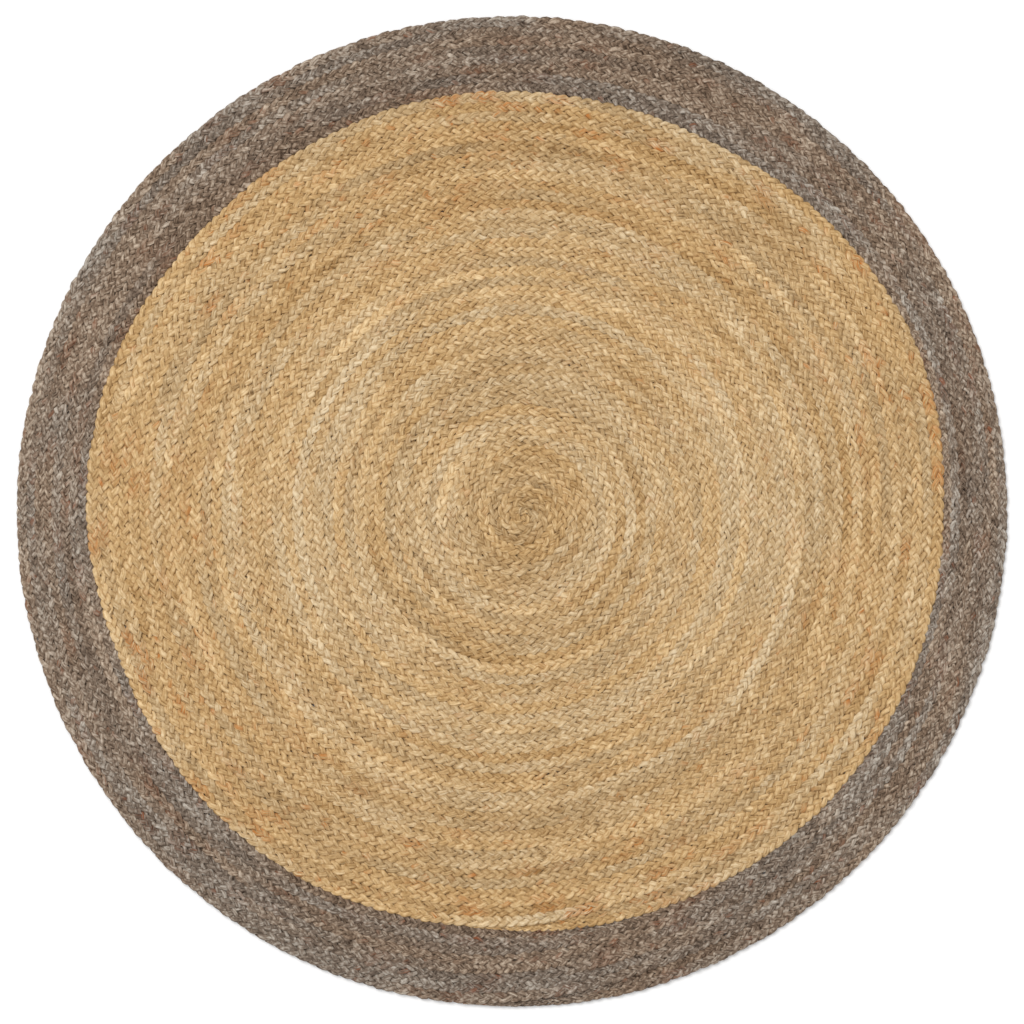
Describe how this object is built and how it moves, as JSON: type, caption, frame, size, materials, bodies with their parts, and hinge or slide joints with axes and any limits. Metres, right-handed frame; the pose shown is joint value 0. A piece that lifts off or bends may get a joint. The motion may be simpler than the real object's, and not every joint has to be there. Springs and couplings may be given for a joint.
{
  "type": "round jute rug",
  "caption": "Round flat rug of a natural jute braid coiled outward, with a wide border of the same braid in grey-taupe sewn round it.",
  "frame": {"origin": "middle of the rug's flat underside, where it rests on the floor", "axes": "+Z up out of the floor; +X to the right and +Y up in the picture, which looks straight down"},
  "size_m": [0.9, 0.9, 0.008],
  "materials": {
    "natural_jute": "matt undyed jute fibre, golden tan with paler and rust-brown stretches",
    "grey_jute": "matt dyed jute fibre, warm grey-taupe with paler and brown fibres"
  },
  "bodies": {
    "root": {"centre_coil": "natural_jute", "border_coil": "grey_jute"}
  },
  "joints": []
}
